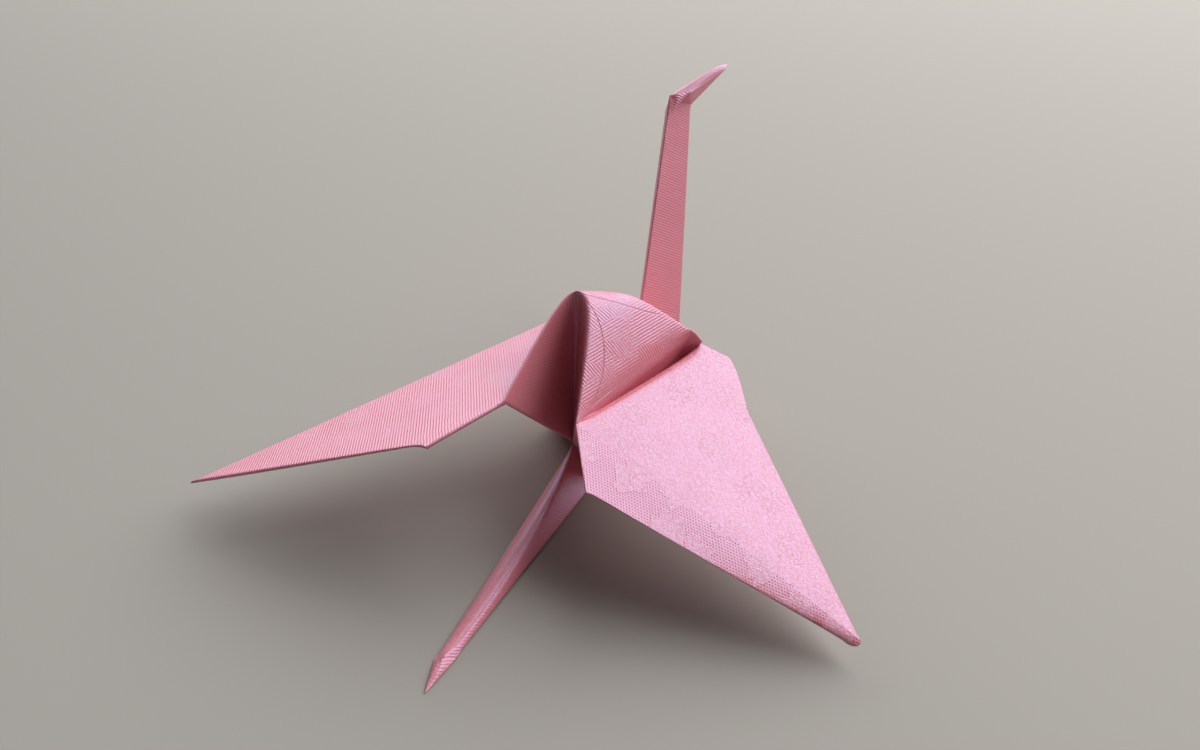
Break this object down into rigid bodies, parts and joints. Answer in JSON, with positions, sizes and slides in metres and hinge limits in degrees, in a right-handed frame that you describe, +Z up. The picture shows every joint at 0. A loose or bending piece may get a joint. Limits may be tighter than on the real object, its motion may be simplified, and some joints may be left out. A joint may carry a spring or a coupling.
{
  "type": "origami crane",
  "caption": "Traditional folded paper crane with spread drooping wings, a bulged hollow back, a raised neck with a bent head and a long tail that lies on the table.",
  "frame": {"origin": "on the table, straight below the top of the crane's back", "axes": "+X towards the right wing, +Y towards the head, +Z up"},
  "size_m": [0.1194, 0.1191, 0.0612],
  "materials": {
    "paper": "embossed pearl pink craft paper"
  },
  "bodies": {
    "root": {"paper_crane": "paper"}
  },
  "joints": []
}
